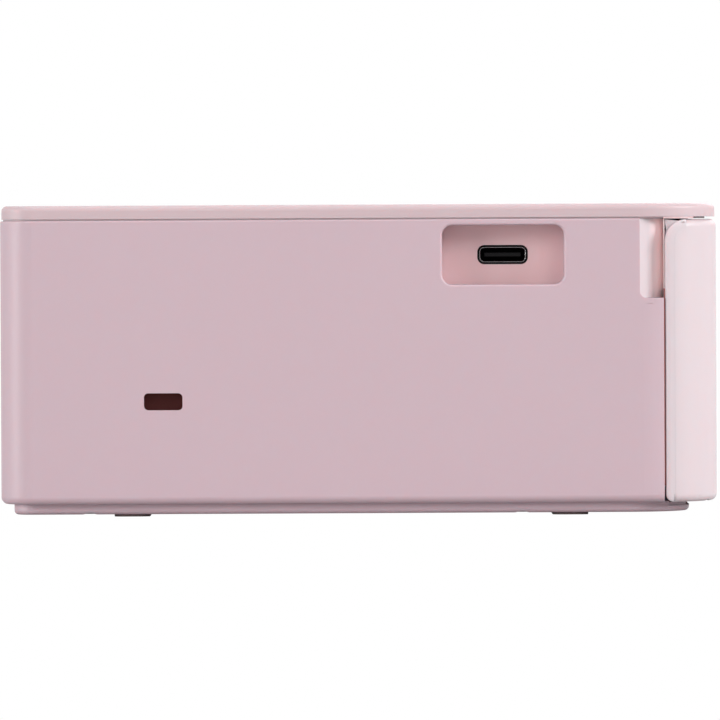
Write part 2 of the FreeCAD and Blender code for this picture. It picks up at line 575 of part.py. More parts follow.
# The front cover wraps the left corner; its open back holds two hinge lugs.
cover = new_body("front_cover")
pad(cover, "cover_block", "XY", "cover_low", "cover_high", plan("0"))
carve(cover, "cover_back", "XY", "cover_low - overrun", "cover_high + overrun",
      rectangle("left - overrun", "right + overrun", "cover_rear", "rear + overrun"))
carve(cover, "cover_end", "XY", "cover_low - overrun", "cover_high + overrun",
      rectangle("cover_right", "right + overrun", "front - overrun", "cover_rear + overrun"))
round_edges(cover, "cover_top_rear", "cover_top_round",
            edges_at(cover.Shape, y="cover_rear", z="cover_high"))
round_edges(cover, "cover_foot_rear", "cover_rear_round",
            edges_at(cover.Shape, y="cover_rear", z="cover_low"))
round_edges(cover, "cover_foot_front", "cover_foot_round", edges_at(
    cover.Shape, z="cover_low", wanted=lambda edge: edge.BoundBox.YMin < value("front + edge_break")))
carve(cover, "cover_hollow", "XY", "cover_low + cover_wall", "cover_high - cover_wall",
      [("left + cover_wall", "front + cover_wall", "front_corner - cover_wall"),
       ("cover_right - cover_wall", "front + cover_wall", "edge_break"),
       ("cover_right - cover_wall", "cover_rear + overrun", ""),
       ("left + cover_wall", "cover_rear + overrun", "")])
carve(cover, "cover_foot_opening", "XY", "cover_low - overrun", "cover_low + cover_wall + edge_break",
      rectangle("left + hinge_inset / 2", "cover_right - cover_wall", "front + cover_wall",
                "cover_rear + overrun"))
LUG = [("front + cover_wall - edge_break", "hinge_tall - ear_radius", ""),
       ("hinge_y + ear_radius", "hinge_tall - ear_radius", "ear_radius - running"),
       ("hinge_y + ear_radius", "hinge_tall + lug_tall", "ear_radius"),
       ("front + cover_wall - edge_break", "hinge_tall + lug_tall", "")]
pad(cover, "lug_left", "YZ", "ear_left - fit - lug_wide", "ear_left - fit", LUG)
pad(cover, "lug_right", "YZ", "ear_right + fit", "ear_right + fit + lug_wide", LUG)
carve(cover, "lug_holes", "YZ", "ear_left - lug_wide - overrun", "ear_right + lug_wide + overrun",
      ("hinge_y", "hinge_tall", "hinge_pin_radius"))
node("cover_hinge_pins", group(
    "cover_pin_set",
    rod("cover_pin_left", "x", "ear_left - fit - lug_wide", "ear_left + ear_wide",
        ("hinge_y", "hinge_tall"), "hinge_pin_radius"),
    rod("cover_pin_right", "x", "ear_right - ear_wide", "ear_right + fit + lug_wide",
        ("hinge_y", "hinge_tall"), "hinge_pin_radius")))

# The cartridge door on the right side turns on a barrel along its rear edge.
door = new_body("cartridge_door")
pad(door, "door_leaf", "YZ", "right - door_thick", "right",
    [("door_front", "door_low", "door_corner"), ("door_pin_y", "door_low", ""),
     ("door_pin_y", "door_high", ""), ("door_front", "door_high", "door_corner")])
pad(door, "door_barrel", "XY", "door_low", "door_high",
    ("door_pin_x", "door_pin_y", "right - door_pin_x"))
pad(door, "door_ribs", "XY", "door_low + wall", "door_high - wall",
    rectangle("right - door_thick - wall", "right - door_thick + edge_break", "door_front + wall",
              "door_front + wall + rib_thick"))
carve(door, "door_bore", "XY", "door_low - running", "door_high + running",
      ("door_pin_x", "door_pin_y", "door_pin_radius"))
node("cartridge_door_pin", rod("door_pin", "z", "knuckle_foot + edge_break * 2",
                               "knuckle_head - edge_break * 2", ("door_pin_x", "door_pin_y"),
                               "door_pin_radius"))

# The socket in the left recess: a folded steel shell with its tongue inside.
socket = new_body("usb_socket_shell")
pad(socket, "socket_block", "YZ", "port_face", "port_face + port_deep",
    around("recess_y", "recess_z", "port_half", "port_half_tall", "port_corner - port_clear"))
carve(socket, "socket_mouth", "YZ", "port_face - overrun", "port_face + port_deep - overrun",
      around("recess_y", "recess_z", "port_half - port_shell", "port_half_tall - port_shell",
             "port_corner - port_clear - port_shell"))
node("usb_socket_tongue", box("tongue", ("port_face + edge_break", "port_face + port_deep - overrun"),
                              ("recess_y - tongue_long / 2", "recess_y + tongue_long / 2"),
                              ("recess_z - tongue_tall / 2", "recess_z + tongue_tall / 2")))

# The card socket behind the slot in the column, held by a bracket from the side wall.
card_box = cut(
    "card_box",
    box("card_block", ("card_left - card_shell", "card_right + card_shell"),
        ("front + wall + fit", "card_back + fit"), ("card_low - card_shell", "card_high + card_shell")),
    box("card_mouth", ("card_left", "card_right"), ("front + wall", "card_back - overrun"),
        ("card_low", "card_high")))
node("card_socket", join(
    "card_shape", card_box,
    box("card_bracket", ("card_right + card_shell / 2", "right - wall"),
        ("front + front_corner", "card_back"), ("card_z - wall", "card_z + wall"))))

# The power jack at the back.
jack = new_body("power_jack")
pad(jack, "jack_block", "XZ", "rear - wall - jack_deep", "rear - wall",
    rectangle("jack_x - jack_body", "jack_x + jack_body", "floor", "jack_z + jack_body"))
pad(jack, "jack_collar", "XZ", "rear - wall - edge_break", "rear - edge_break",
    ("jack_x", "jack_z", "jack_radius"))
carve(jack, "jack_bore", "XZ", "rear - jack_deep", "rear + overrun",
      ("jack_x", "jack_z", "jack_radius - jack_ring"))
node("power_jack_pin", rod("jack_pin", "y", "rear - jack_deep", "rear - overrun",
                           ("jack_x", "jack_z"), "jack_pin_radius"))

# The display under its window, and the key board on the lid's posts.
window = new_body("screen_window")
pad(window, "window_sheet", "XY", "screen_low", "screen_low + screen_thick",
    around("screen_x", "screen_y", "screen_wide / 2", "screen_deep / 2", "screen_corner"))
node("display_panel", box("panel_block", ("screen_x - screen_wide / 2", "screen_x + screen_wide / 2"),
                          ("screen_y - screen_deep / 2", "screen_y + screen_deep / 2"),
                          ("lid_low - panel_tall", "lid_low")))
node("key_board", box("key_board_block", ("key_board_left", "key_board_right"),
                      ("key_board_front", "key_board_rear"), ("key_board_low", "key_board_high")))


def stem_of(name, x, y):
    return rod(f"{name}_stem", "z", "key_stem_low", "key_flange_low + edge_break", (x, y), "key_stem")


switches = []


def add_switch(x, y):
    switches.append(box(f"switch_{len(switches)}", (f"{x} - switch_side / 2", f"{x} + switch_side / 2"),
                        (f"{y} - switch_side / 2", f"{y} + switch_side / 2"),
                        ("key_board_high", "switch_high")))


for key_name, x, y, radius in ROUND_KEYS:
    cap = rod(f"{key_name}_cap", "z", "key_flange_low + edge_break", "key_top", (x, y), radius)
    flange = rod(f"{key_name}_flange", "z", "key_flange_low", "key_flange_high", (x, y),
                 f"{radius} + key_flange")
    node(key_name, join(f"{key_name}_shape", cap, flange, stem_of(key_name, x, y)))
    add_switch(x, y)


def sector(name, low, high, outer, middle_angle):
    """A quarter of a ring about the middle key, less half a slit at each end."""
    slit_angle = f"{bind('ring_slit / ring_inner')} * 180 / pi"
    wedge = rod(f"{name}_wedge", "z", low, high, ("ring_x", "ring_y"), outer)
    wedge.setExpression("Angle", f"90 - {slit_angle}")
    wedge.Placement.Rotation = FreeCAD.Rotation(FreeCAD.Vector(0, 0, 1), middle_angle)
    wedge.setExpression("Placement.Rotation.Angle", f"{middle_angle} - 45 + {slit_angle} / 2")
    middle = rod(f"{name}_middle", "z", f"{low} - overrun", f"{high} + overrun", ("ring_x", "ring_y"),
                 "ring_inner")
    return cut(name, wedge, middle)


for key_name, angle, side_x, side_y in (("right_key", 0, 1, 0), ("up_key", 90, 0, 1),
                                        ("left_key", 180, -1, 0), ("down_key", 270, 0, -1)):
    cap = sector(f"{key_name}_cap", "key_flange_low + edge_break", "key_top", "ring_outer", angle)
    flange = sector(f"{key_name}_flange", "key_flange_low", "key_flange_high",
                    "ring_outer + key_flange", angle)
    x = f"ring_x + {side_x} * (ring_inner + ring_outer) / 2"
    y = f"ring_y + {side_y} * (ring_inner + ring_outer) / 2"
    node(key_name, join(f"{key_name}_shape", cap, flange, stem_of(key_name, x, y)))
    add_switch(x, y)
ok_cap = rod("ok_cap", "z", "key_flange_low", "key_top", ("ring_x", "ring_y"), "ring_inner - key_gap")
node("ok_key", join("ok_shape", ok_cap, stem_of("ok_key", "ring_x", "ring_y")))
add_switch("ring_x", "ring_y")
node("key_switches", group("switch_set", *switches))

# The main board lies on the engine's side plates and carries the socket.
node("main_board", box("main_board_block", ("board_left", "board_right"), ("board_front", "board_rear"),
                       ("board_low", "board_top")))
# Each chip: its place along and across the board, then its side and height.
CHIP_SHARES = [(0.29, 0.5, 1, 1), (0.47, 0.4, 1, 1), (0.68, 0.55, 0.6, 2), (0.82, 0.4, 0.5, 1)]
chips = []
for number, (along_share, across_share, side_share, tall_share) in enumerate(CHIP_SHARES):
    x = f"board_left + (board_right - board_left) * {along_share}"
    y = f"board_front + (board_rear - board_front) * {across_share}"
    half = f"chip_side / 2 * {side_share}"
    chips.append(box(f"chip_{number}", (f"{x} - {half}", f"{x} + {half}"),
                     (f"{y} - {half}", f"{y} + {half}"),
                     ("board_top", f"board_top + chip_tall * {tall_share}")))
node("board_chips", group("chip_set", *chips))

# The print engine's tray and side plates.
node("engine_tray", box("tray_block", ("plate_left", "plate_right"), ("plate_front", "plate_rear"),
                        ("floor", "floor + plate_thick")))
JOURNALS = [("grip_y", "grip_z"), ("grip_y", "pinch_z"), ("feed_y", "feed_z"), ("platen_y", "platen_z")]
PLATE = [("plate_front", "floor + plate_thick", ""), ("plate_rear", "floor + plate_thick", ""),
         ("plate_rear", "board_low", "rear_corner"), ("plate_front", "board_low", "rear_corner")]
for name, low, high in (("engine_left_plate", "plate_left", "engine_left"),
                        ("engine_right_plate", "engine_right", "plate_right")):
    plate = new_body(name)
    pad(plate, name + "_sheet", "YZ", low, high, PLATE)
    carve(plate, name + "_holes", "YZ", f"{low} - overrun", f"{high} + overrun",
          *[(y, z, "journal_radius + running") for y, z in JOURNALS])
    if name == "engine_right_plate":
        carve(plate, name + "_doorway", "YZ", f"{low} - overrun", f"{high} + overrun",
              rectangle("takeup_y - tub_radius - fit * 2", "supply_y + tub_radius + fit * 2",
                        "spool_z - tub_radius - fit * 2", "spool_z + tub_radius + fit * 2", "fit"))
    else:
        carve(plate, name + "_drive_hole", "YZ", f"{low} - overrun", f"{high} + overrun",
              ("takeup_y", "spool_z", "gear_bore + running"))
node("engine_tie_rod", rod("tie_rod", "x", "engine_left", "engine_right", ("tie_y", "tie_z"), "tie_radius"))
node("head_arm_shaft", rod("arm_shaft", "x", "engine_left", "engine_right",
                           ("arm_pivot_y", "arm_pivot_z"), "arm_pin_radius"))


# Rollers: each is one turned piece, or a rubber sleeve on its steel shaft.
def shaft(name, y, z, radius, left_end, right_end):
    """A roller between the plates, with a journal through each of them."""
    middle = rod(f"{name}_middle", "x", "engine_left + gear_gap", "engine_right - gear_gap", (y, z), radius)
    journals = rod(f"{name}_journals", "x", left_end, right_end, (y, z), "journal_radius")
    return join(f"{name}_shape", middle, journals)


node("grip_roller", shaft("grip_roller", "grip_y", "grip_z", "grip_radius", "gear_far",
                          "plate_right + gear_gap"))
node("pinch_roller", shaft("pinch_roller", "grip_y", "pinch_z", "pinch_radius", "plate_left - gear_gap / 2",
                           "plate_right + gear_gap"))
node("feed_shaft", shaft("feed_shaft", "feed_y", "feed_z", "feed_hub", "gear_far",
                         "plate_right + gear_gap"))
node("feed_tyres", group("tyre_set", *[
    cut(f"tyre_{side}", rod(f"tyre_{side}_outside", "x", f"paper_x + {offset} - feed_tyre / 2",
                            f"paper_x + {offset} + feed_tyre / 2", ("feed_y", "feed_z"), "feed_radius"),
        rod(f"tyre_{side}_bore", "x", f"paper_x + {offset} - feed_tyre", f"paper_x + {offset} + feed_tyre",
            ("feed_y", "feed_z"), "feed_hub"))
    for side, offset in (("left", "(-feed_tyre)"), ("right", "feed_tyre"))]))
node("platen_shaft", shaft("platen_shaft", "platen_y", "platen_z", "platen_core",
                           "plate_left - gear_gap / 2", "plate_right + gear_gap"))
node("platen_sleeve", cut("platen_sleeve_shape", rod(
    "sleeve_outside", "x", "engine_left + gear_gap * 3", "engine_right - gear_gap * 3",
    ("platen_y", "platen_z"), "platen_radius"), rod(
    "sleeve_bore", "x", "engine_left", "engine_right", ("platen_y", "platen_z"), "platen_core")))


def gear(name, y, z, teeth, turn):
    """A spur gear with straight-flanked teeth, thinned for play."""
    module = value("gear_module")
    pitch = module * teeth / 2
    tip, root = pitch + module, pitch - module * ROOT_SHARE
    half_tooth = math.pi / teeth / 2 - value("gear_play") / pitch
    rings = ((root, ROOT_TURN_SHARE), (pitch, 1), (tip, TIP_TURN_SHARE))
    points = []
    for index in range(teeth):
        middle = turn + 2 * math.pi * index / teeth
        for sign, order in ((-1, rings), (1, rings[::-1])):
            for radius, share in order:
                angle = middle + sign * half_tooth * share
                points.append(FreeCAD.Vector(0, radius * math.cos(angle), radius * math.sin(angle)))
    along = FreeCAD.Vector(value("gear_thick"), 0, 0)
    blank = Part.Face(Part.makePolygon(points + points[:1])).extrude(along)
    bore = Part.makeCylinder(value("gear_bore"), value("gear_thick"), FreeCAD.Vector(), along)
    item = doc.addObject("Part::Feature", name + "_shape")
    item.Shape = blank.cut(bore)
    item.Placement.Base = FreeCAD.Vector(value("gear_far"), value(y), value(z))
    node(name, item)


def mesh_turn(teeth, own_turn, other_teeth, direction):
    """The turn of a second gear whose gap faces a tooth of the first along a direction."""
    phase = (direction - own_turn) * teeth
    return direction + math.pi + (phase + math.pi) / other_teeth


def heading(y_from, z_from, y_to, z_to):
    return math.atan2(value(z_to) - value(z_from), value(y_to) - value(y_from))


grip_turn = 0
takeup_turn = mesh_turn(TEETH["grip"], grip_turn, TEETH["takeup"],
                        heading("grip_y", "grip_z", "takeup_y", "spool_z"))
feed_turn = mesh_turn(TEETH["grip"], grip_turn, TEETH["feed"],
                      heading("grip_y", "grip_z", "feed_y", "feed_z"))
pinion_turn = mesh_turn(TEETH["takeup"], takeup_turn, TEETH["pinion"],
                        heading("takeup_y", "spool_z", "motor_y", "motor_z"))
gear("grip_gear", "grip_y", "grip_z", TEETH["grip"], grip_turn)
gear("takeup_gear", "takeup_y", "spool_z", TEETH["takeup"], takeup_turn)
gear("feed_gear", "feed_y", "feed_z", TEETH["feed"], feed_turn)
gear("motor_pinion", "motor_y", "motor_z", TEETH["pinion"], pinion_turn)
node("takeup_shaft", rod("takeup_axle", "x", "gear_far", "cartridge_left",
                         ("takeup_y", "spool_z"), "gear_bore"))
node("motor_shaft", rod("motor_axle", "x", "motor_end + overrun", "gear_near",
                        ("motor_y", "motor_z"), "gear_bore"))
node("drive_motor", cut(
    "motor_shape", rod("motor_can", "x", "motor_end", "motor_face", ("motor_y", "motor_z"), "motor_radius"),
    rod("motor_bore", "x", "motor_end + overrun - running", "motor_face + overrun",
        ("motor_y", "motor_z"), "gear_bore + running")))
bracket = new_body("motor_bracket")
pad(bracket, "bracket_sheet", "YZ", "motor_face", "motor_face + bracket_thick",
    rectangle("motor_y - motor_radius", "motor_y + motor_radius", "floor", "motor_z + motor_radius",
              "edge_break"))
carve(bracket, "bracket_hole", "YZ", "motor_face - overrun", "motor_face + bracket_thick + overrun",
      ("motor_y", "motor_z", "gear_bore + running * 4"))
pad(bracket, "bracket_foot", "XY", "floor", "floor + bracket_thick",
    rectangle("motor_face + bracket_thick - edge_break", "plate_left", "motor_y - motor_radius",
              "motor_y + motor_radius"))

# The print head on its swinging arm, whose cheeks reach down behind the cartridge to the shaft.
arm = new_body("head_arm")
pad(arm, "arm_sheet", "XY", "arm_low", "arm_low + arm_thick",
    rectangle("arm_left", "arm_right", "head_front", "arm_pivot_y + arm_cheek"))
for side, low, high in (("left", "arm_left", "arm_left + arm_thick"),
                        ("right", "arm_right - arm_thick", "arm_right")):
    pad(arm, f"arm_cheek_{side}", "YZ", low, high,
        rectangle("arm_pivot_y - arm_cheek", "arm_pivot_y + arm_cheek", "arm_pivot_z - arm_cheek",
                  "arm_low + arm_thick / 2"))
carve(arm, "arm_holes", "YZ", "engine_left", "engine_right",
      ("arm_pivot_y", "arm_pivot_z", "arm_pin_radius + running"))
node("heat_sink", join(
    "sink_shape", box("sink_plate", ("head_left", "head_right"), ("head_front", "head_rear"),
                      ("head_high", "head_high + fin_thick * 2")),
    *[box(f"fin_{index}", ("head_left", "head_right"),
          (f"head_front + fin_pitch * {index}", f"head_front + fin_pitch * {index} + fin_thick"),
          ("head_high + fin_thick", "arm_low"))
      for index in range(int(value("head_long") / value("fin_pitch")))]))
node("thermal_head", box("head_block", ("head_left", "head_right"), ("head_front", "head_rear"),
                         ("head_low", "head_high")))

# The ribbon cartridge: two tubs joined by rails, with a spool in each and the film between them.
tubs = []
for name, y in (("takeup_tub", "takeup_y"), ("supply_tub", "supply_y")):
    outside = rod(name + "_outside", "x", "cartridge_left", "engine_right", (y, "spool_z"), "tub_radius")
    inside = rod(name + "_inside", "x", "cartridge_left + tub_wall", "engine_right - tub_wall",
                 (y, "spool_z"), "tub_radius - tub_wall")
    hub_hole = rod(name + "_hub", "x", "cartridge_left - overrun", "cartridge_left + wall",
                   (y, "spool_z"), "spool_core + running * 4")
    tubs.append(cut(name, outside, inside, hub_hole))
handle = box("cartridge_grip", ("engine_right - tub_wall", "cartridge_right"),
             ("takeup_y - tub_radius / 2", "supply_y + tub_radius / 2"),
             ("spool_z - tub_radius + tub_wall", "spool_z + tub_radius - tub_wall"))
rail = box("cartridge_rail", ("cartridge_left", "cartridge_left + tub_wall * 2"),
           ("takeup_y + tub_radius - tub_wall / 2", "supply_y - tub_radius + tub_wall / 2"),
           ("spool_z - tub_wall * 3", "spool_z"))
slots = box("film_slots", ("cartridge_left + tub_wall * 3", "engine_right - tub_wall * 3"),
            ("takeup_y", "supply_y"), ("film_z - film_thick", "film_z + film_thick * 2"))
node("cartridge_case", cut("cartridge_shape", join("cartridge_solid", *tubs, handle, rail), slots))
node("ribbon_film", box("film_sheet", ("film_left", "film_right"),
                        ("takeup_y + edge_break", "supply_y - edge_break"),
                        ("film_z", "film_z + film_thick")))
for name, y, roll in (("takeup_spool", "takeup_y", "roll_takeup"),
                      ("supply_spool", "supply_y", "roll_supply")):
    core = rod(name + "_core", "x", "cartridge_left + running", "engine_right - tub_wall - running * 4",
               (y, "spool_z"), "spool_core")
    winding = rod(name + "_winding", "x", "film_left", "film_right", (y, "spool_z"), roll)
    node(name, join(name + "_shape", core, winding))

# The guide that carries the paper from the platen to the exit at the back.
guide_left, guide_right = "paper_x - paper_wide / 2", "paper_x + paper_wide / 2"
node("paper_guide", join(
    "guide_shape",
    box("guide_sheet", (guide_left, guide_right), ("platen_y + platen_radius + overrun * 2", "plate_rear"),
        ("paper_level - wall", "paper_level - wall / 2")),
    *[box(name, (low, high), ("plate_rear - wall * 3", "plate_rear - wall * 2"),
          ("floor + plate_thick", "paper_level - wall / 2"))
      for name, low, high in (("guide_leg_left", guide_left, f"{guide_left} + wall"),
                              ("guide_leg_right", f"{guide_right} - wall", guide_right))]))

doc.recompute()
for item in doc.Objects:
    if {"Invalid", "Error"} & set(item.State):
        raise RuntimeError(f"{item.Name} failed: {item.State}")
for node_name, item in NODES.items():
    if item.Shape.isNull() or not item.Shape.isValid():
        raise RuntimeError(f"{node_name} has no valid shape")

os.makedirs("parts", exist_ok=True)
for node_name, item in NODES.items():
    item.Shape.exportStep(f"parts/{node_name}.step")
print(f"{len(NODES)} sub-parts written")
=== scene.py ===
import json
import math

import bmesh
import bpy
from mathutils import Matrix, Vector


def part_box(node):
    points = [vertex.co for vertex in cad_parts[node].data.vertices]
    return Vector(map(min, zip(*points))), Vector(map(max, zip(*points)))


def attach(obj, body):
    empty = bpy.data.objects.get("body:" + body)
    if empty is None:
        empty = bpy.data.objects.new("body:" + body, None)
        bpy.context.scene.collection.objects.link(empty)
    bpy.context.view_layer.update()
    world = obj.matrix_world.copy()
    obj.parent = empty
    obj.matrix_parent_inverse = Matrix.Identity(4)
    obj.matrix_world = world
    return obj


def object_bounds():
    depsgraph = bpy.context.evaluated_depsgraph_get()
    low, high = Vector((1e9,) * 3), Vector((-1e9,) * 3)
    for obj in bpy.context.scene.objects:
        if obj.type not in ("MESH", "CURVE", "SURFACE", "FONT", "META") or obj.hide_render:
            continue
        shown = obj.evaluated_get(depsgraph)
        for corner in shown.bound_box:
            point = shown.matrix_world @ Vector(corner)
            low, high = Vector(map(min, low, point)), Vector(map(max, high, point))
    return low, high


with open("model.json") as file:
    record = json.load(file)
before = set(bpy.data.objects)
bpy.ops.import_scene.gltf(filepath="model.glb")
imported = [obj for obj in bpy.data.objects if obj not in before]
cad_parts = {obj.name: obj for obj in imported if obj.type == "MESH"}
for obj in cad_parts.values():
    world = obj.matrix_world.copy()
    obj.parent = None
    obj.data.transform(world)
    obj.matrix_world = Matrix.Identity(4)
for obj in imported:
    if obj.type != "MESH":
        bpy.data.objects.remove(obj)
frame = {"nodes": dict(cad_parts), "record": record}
cad_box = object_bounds()
nodes = frame["nodes"]
(LEFT, FRONT, _), (RIGHT, REAR, _) = cad_box

MM = 0.001

# The view of the left side: the picture's width in pixels, and the size of one on that side.
PICTURE = 720
PIXEL = 0.1848 * MM
CAMERA_DISTANCE = 1.7
CAMERA_HEIGHT = 55 * MM
CAMERA_CLIP = (0.01, 20)
AIM_Y = -0.12 * MM
AIM_Z = 28.87 * MM
ROLL_DEG = -0.28
SENSOR_MM = 36.0

# Light levels, and the floor: its width in metres and its own colour.
WORLD_LIGHT = 0.30
FLOOR_LIGHT = 1.0
FLOOR_SIZE = 12.0
FLOOR_MATTE = (0.55, 0.54, 0.54, 1)
WHITE = (1, 1, 1, 1)

# Each softbox: its place, what it faces, its width and height in metres, and its power in watts.
SOFTBOXES = {
    "front": ((-0.7, -1.8, 0.8), (-0.05, -0.03, 0.03), (0.8, 0.8), 36.0),
    "side": ((-1.9, -1.0, 1.1), (-0.09, 0, 0.03), (1.0, 1.0), 12.0),
    "rear": ((-1.0, 1.8, 0.4), (-0.05, 0.03, 0.03), (0.9, 0.9), 30.0),
    "right": ((2.2, -0.7, 1.2), (0.09, 0, 0.03), (1.4, 1.4), 16.0),
    "overhead": ((0, 0, 1.8), (0, 0, 0), (1.6, 1.4), 10.0),
}


def display(red, green, blue):
    """A colour given by its 0 to 255 display values, as linear light."""
    def linear(value):
        share = value / 255
        return share / 12.92 if share <= 0.04045 else ((share + 0.055) / 1.055) ** 2.4
    return (linear(red), linear(green), linear(blue), 1)


# CAMERA, LIGHT AND FLOOR

def make_camera():
    data = bpy.data.cameras.new("camera")
    data.sensor_width = SENSOR_MM
    data.lens = SENSOR_MM * CAMERA_DISTANCE / (PICTURE * PIXEL)
    data.clip_start, data.clip_end = CAMERA_CLIP
    camera = bpy.data.objects.new("camera", data)
    camera.location = (LEFT - CAMERA_DISTANCE, AIM_Y, CAMERA_HEIGHT)
    aim = Vector((LEFT, AIM_Y, AIM_Z)) - camera.location
    turn = aim.to_track_quat("-Z", "Y").to_matrix().to_4x4()
    roll = Matrix.Rotation(math.radians(ROLL_DEG), 4, "Z")
    camera.rotation_euler = (turn @ roll).to_euler()
    bpy.context.scene.collection.objects.link(camera)
    bpy.context.scene.camera = camera


def add_softbox(name, place, faces, size, power):
    data = bpy.data.lights.new(name, "AREA")
    data.shape = "RECTANGLE"
    data.size, data.size_y = size
    data.energy = power
    lamp = bpy.data.objects.new(name, data)
    lamp.location = place
    lamp.rotation_euler = (Vector(faces) - lamp.location).to_track_quat("-Z", "Y").to_euler()
    bpy.context.scene.collection.objects.link(lamp)


def add_node(tree, kind, **settings):
    """A shader node whose sockets and options are set by name, with _ for a space."""
    made = tree.nodes.new(kind)
    for key, setting in settings.items():
        words = key.replace("_", " ")
        if words in made.inputs:
            made.inputs[words].default_value = setting
        else:
            setattr(made, key, setting)
    return made


def new_material(name):
    material = bpy.data.materials.new(name)
    material.use_nodes = True
    material.node_tree.nodes.clear()
    return material, material.node_tree


def make_world():
    """White for the eye and in reflections, and a dimmer even light on surfaces."""
    world = bpy.data.worlds.new("studio")
    bpy.context.scene.world = world
    world.use_nodes = True
    tree = world.node_tree
    tree.nodes.clear()
    rays = add_node(tree, "ShaderNodeLightPath")
    eye = add_node(tree, "ShaderNodeMath", operation="MAXIMUM")
    through = add_node(tree, "ShaderNodeMath", operation="MAXIMUM")
    tree.links.new(rays.outputs["Is Camera Ray"], eye.inputs[0])
    tree.links.new(rays.outputs["Is Glossy Ray"], eye.inputs[1])
    tree.links.new(eye.outputs[0], through.inputs[0])
    tree.links.new(rays.outputs["Is Transmission Ray"], through.inputs[1])
    light = add_node(tree, "ShaderNodeBackground", Color=WHITE, Strength=WORLD_LIGHT)
    white = add_node(tree, "ShaderNodeBackground", Color=WHITE, Strength=1.0)
    mix = add_node(tree, "ShaderNodeMixShader")
    out = add_node(tree, "ShaderNodeOutputWorld")
    tree.links.new(through.outputs[0], mix.inputs[0])
    tree.links.new(light.outputs[0], mix.inputs[1])
    tree.links.new(white.outputs[0], mix.inputs[2])
    tree.links.new(mix.outputs[0], out.inputs[0])


def make_floor():
    """A pale sweep that the eye sees as white and that sends soft light back up."""
    mesh = bpy.data.meshes.new("floor")
    reach = FLOOR_SIZE / 2
    corners = [(-reach, -reach, 0), (reach, -reach, 0), (reach, reach, 0), (-reach, reach, 0)]
    mesh.from_pydata(corners, [], [(0, 1, 2, 3)])
    floor = bpy.data.objects.new("floor", mesh)
    bpy.context.scene.collection.objects.link(floor)
    material, tree = new_material("floor")
    rays = add_node(tree, "ShaderNodeLightPath")
    matte = add_node(tree, "ShaderNodeBsdfDiffuse", Color=FLOOR_MATTE)
    white = add_node(tree, "ShaderNodeEmission", Color=WHITE, Strength=FLOOR_LIGHT)
    mix = add_node(tree, "ShaderNodeMixShader")
    out = add_node(tree, "ShaderNodeOutputMaterial")
    tree.links.new(rays.outputs["Is Camera Ray"], mix.inputs[0])
    tree.links.new(matte.outputs[0], mix.inputs[1])
    tree.links.new(white.outputs[0], mix.inputs[2])
    tree.links.new(mix.outputs[0], out.inputs[0])
    mesh.materials.append(material)


# MATERIALS

# What all the finishes share: how wide their blotches are, how far the gloss strays with the
# grain, and the samples that round an edge.
BLOTCH_WIDE = 45 * MM
GLOSS_RANGE = (0.9, 1.1)
EDGE_SAMPLES = 4


def surface(name, base, grain=0.3, depth=0.004, blotch=0.02, fleck=0.02, rounding=0.12,
            stretch=(1, 1, 1), **settings):
    """A finish with wide blotches, a fine grain in colour, gloss and relief, and softened edges.

    Sizes are in millimetres; blotch and fleck are how far the colour strays, as shares.
    """
    material, tree = new_material(name)
    place = add_node(tree, "ShaderNodeTexCoord")
    scale = add_node(tree, "ShaderNodeMapping", Scale=stretch)
    tree.links.new(place.outputs["Object"], scale.inputs["Vector"])
    clouds = add_node(tree, "ShaderNodeTexNoise", Scale=1 / BLOTCH_WIDE, Detail=3.0)
    specks = add_node(tree, "ShaderNodeTexNoise", Scale=1 / (grain * MM), Detail=2.0)
    tree.links.new(scale.outputs[0], clouds.inputs["Vector"])
    tree.links.new(scale.outputs[0], specks.inputs["Vector"])
    tint = add_node(tree, "ShaderNodeMix", data_type="RGBA")
    tint.inputs["A"].default_value = tuple(part * (1 - blotch) for part in base[:3]) + (1,)
    tint.inputs["B"].default_value = tuple(min(1, part * (1 + blotch)) for part in base[:3]) + (1,)
    tree.links.new(clouds.outputs["Fac"], tint.inputs["Factor"])
    shade = add_node(tree, "ShaderNodeMapRange", To_Min=1 - fleck, To_Max=1 + fleck)
    tree.links.new(specks.outputs["Fac"], shade.inputs["Value"])
    fine = add_node(tree, "ShaderNodeMix", data_type="RGBA", blend_type="MULTIPLY")
    fine.inputs["Factor"].default_value = 1.0
    tree.links.new(tint.outputs[2], fine.inputs["A"])
    tree.links.new(shade.outputs[0], fine.inputs["B"])
    shader = add_node(tree, "ShaderNodeBsdfPrincipled", **settings)
    tree.links.new(fine.outputs[2], shader.inputs["Base Color"])
    gloss = add_node(tree, "ShaderNodeMapRange", To_Min=settings["Roughness"] * GLOSS_RANGE[0],
                     To_Max=settings["Roughness"] * GLOSS_RANGE[1])
    tree.links.new(specks.outputs["Fac"], gloss.inputs["Value"])
    tree.links.new(gloss.outputs[0], shader.inputs["Roughness"])
    edge = add_node(tree, "ShaderNodeBevel", samples=EDGE_SAMPLES, Radius=rounding * MM)
    bump = add_node(tree, "ShaderNodeBump", Strength=1.0, Distance=depth * MM)
    tree.links.new(specks.outputs["Fac"], bump.inputs["Height"])
    tree.links.new(edge.outputs[0], bump.inputs["Normal"])
    tree.links.new(bump.outputs[0], shader.inputs["Normal"])
    out = add_node(tree, "ShaderNodeOutputMaterial")
    tree.links.new(shader.outputs[0], out.inputs[0])
    return material


# The pale plastics let light in a little way, red furthest.
PALE_PLASTIC = {"Roughness": 0.45, "Specular_IOR_Level": 0.5, "Subsurface_Weight": 0.35,
                "Subsurface_Radius": (1.0, 0.35, 0.3), "Subsurface_Scale": 1.5 * MM}
SHELL_COLOUR = display(191, 168, 176)
# The cover is the shell's own plastic; its lighter colour is painted light, for the strong front
# light falling on it.
COVER_PAINTED_LIT_COLOUR = display(200, 186, 190)
LID_COLOUR = display(193, 172, 176)
